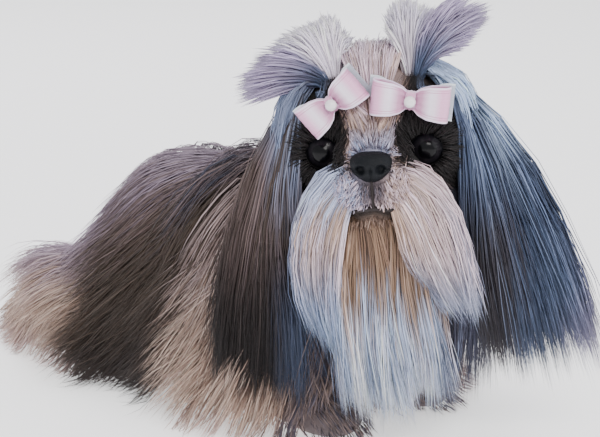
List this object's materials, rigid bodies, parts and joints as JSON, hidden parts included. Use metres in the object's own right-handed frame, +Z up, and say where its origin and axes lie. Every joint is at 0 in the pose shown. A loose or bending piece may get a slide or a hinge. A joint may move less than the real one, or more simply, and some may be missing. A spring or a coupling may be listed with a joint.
{
  "type": "shih tzu",
  "caption": "Still life-size model of a long-coated shih tzu lying down with its head raised and turned to its right, its crown hair tied up in topknots with satin bows and pearls.",
  "frame": {"origin": "on the floor under the middle of the torso, on the flat of the belly", "axes": "+Z up from the floor, +Y from the chest towards the tail, so that the body faces -Y, +X to the dog's own left"},
  "size_m": [0.2245, 0.4568, 0.2421],
  "materials": {
    "coat_grey": "long silky hair",
    "coat_dark": "long silky hair",
    "coat_slate": "long silky hair",
    "coat_cream": "long silky hair",
    "coat_white": "long silky hair",
    "eye": "wet and clear",
    "nose_leather": "moist",
    "satin_ribbon": "satin",
    "pearl": "pearly"
  },
  "bodies": {
    "root": {"head": "coat_cream", "muzzle": "coat_white", "chin": "coat_cream", "nose": "nose_leather", "eye_left": "eye", "eye_right": "eye", "ear_left": "coat_slate", "ear_right": "coat_dark", "topknot_left": "coat_white", "topknot_right": "coat_white", "bow_left": "satin_ribbon", "bow_right": "satin_ribbon", "pearl_left": "pearl", "pearl_right": "pearl", "neck": "coat_cream", "torso": "coat_grey", "tail": "coat_white", "foreleg_left": "coat_cream", "foreleg_right": "coat_cream", "hindleg_left": "coat_grey", "hindleg_right": "coat_grey"}
  },
  "joints": []
}
